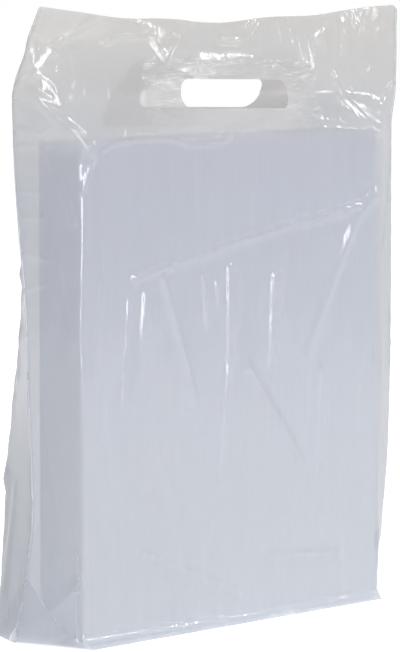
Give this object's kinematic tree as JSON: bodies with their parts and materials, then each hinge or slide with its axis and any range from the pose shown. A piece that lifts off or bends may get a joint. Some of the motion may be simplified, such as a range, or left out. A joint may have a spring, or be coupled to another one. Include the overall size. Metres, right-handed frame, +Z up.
{
  "type": "plastic carrier bag",
  "caption": "Clear film carrier bag with a die-cut hand slot, side welds and a bottom gusset, standing round a light rectangular block.",
  "frame": {"origin": "on the floor at the middle of the bag's footprint", "axes": "+X along the bag's long side, +Y from the front panel to the back panel, +Z up"},
  "size_m": [0.3756, 0.0952, 0.429],
  "materials": {
    "film": "glossy milky translucent film",
    "patch": "glossy translucent film, wrinkled by the heat weld",
    "block": "matt white foam"
  },
  "bodies": {
    "root": {"film_bag": "film", "handle_patch_front": "patch", "handle_patch_back": "patch", "filler_block": "block"}
  },
  "joints": []
}
